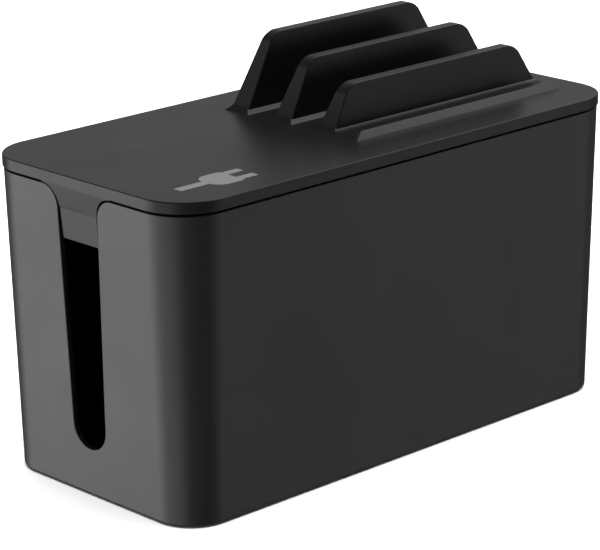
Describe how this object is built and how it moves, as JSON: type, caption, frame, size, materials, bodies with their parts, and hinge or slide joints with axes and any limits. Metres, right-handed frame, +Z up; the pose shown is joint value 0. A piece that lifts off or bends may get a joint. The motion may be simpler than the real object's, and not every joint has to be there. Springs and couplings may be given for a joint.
{
  "type": "cable management box",
  "caption": "Lidded box that hides a short power strip and its cables, with a cable slot in each end and upright fins on the lid that hold phones and tablets while they charge.",
  "frame": {"origin": "on the surface that the box stands on, under the middle of the box", "axes": "+X along the box, towards the end where the fins stand on the lid; +Y towards the tallest fin, at the back; +Z up"},
  "size_m": [0.241, 0.1168, 0.1584],
  "materials": {
    "box_plastic": "satin black injection-moulded ABS, very fine spark-eroded texture",
    "lid_plastic": "satin black injection-moulded ABS, very fine spark-eroded texture",
    "foot_rubber": "matt black moulded rubber",
    "printed_ink": "thin pale grey pad-printed ink"
  },
  "bodies": {
    "box": {"box_shell": "box_plastic", "foot_left_front": "foot_rubber", "foot_left_rear": "foot_rubber", "foot_right_front": "foot_rubber", "foot_right_rear": "foot_rubber"},
    "lid": {"lid": "lid_plastic"}
  },
  "joints": [
    {"name": "lid_lift", "type": "slide", "parent": "box", "child": "lid", "axis": [0, 0, 1], "range_m": [0, 0.06]}
  ]
}
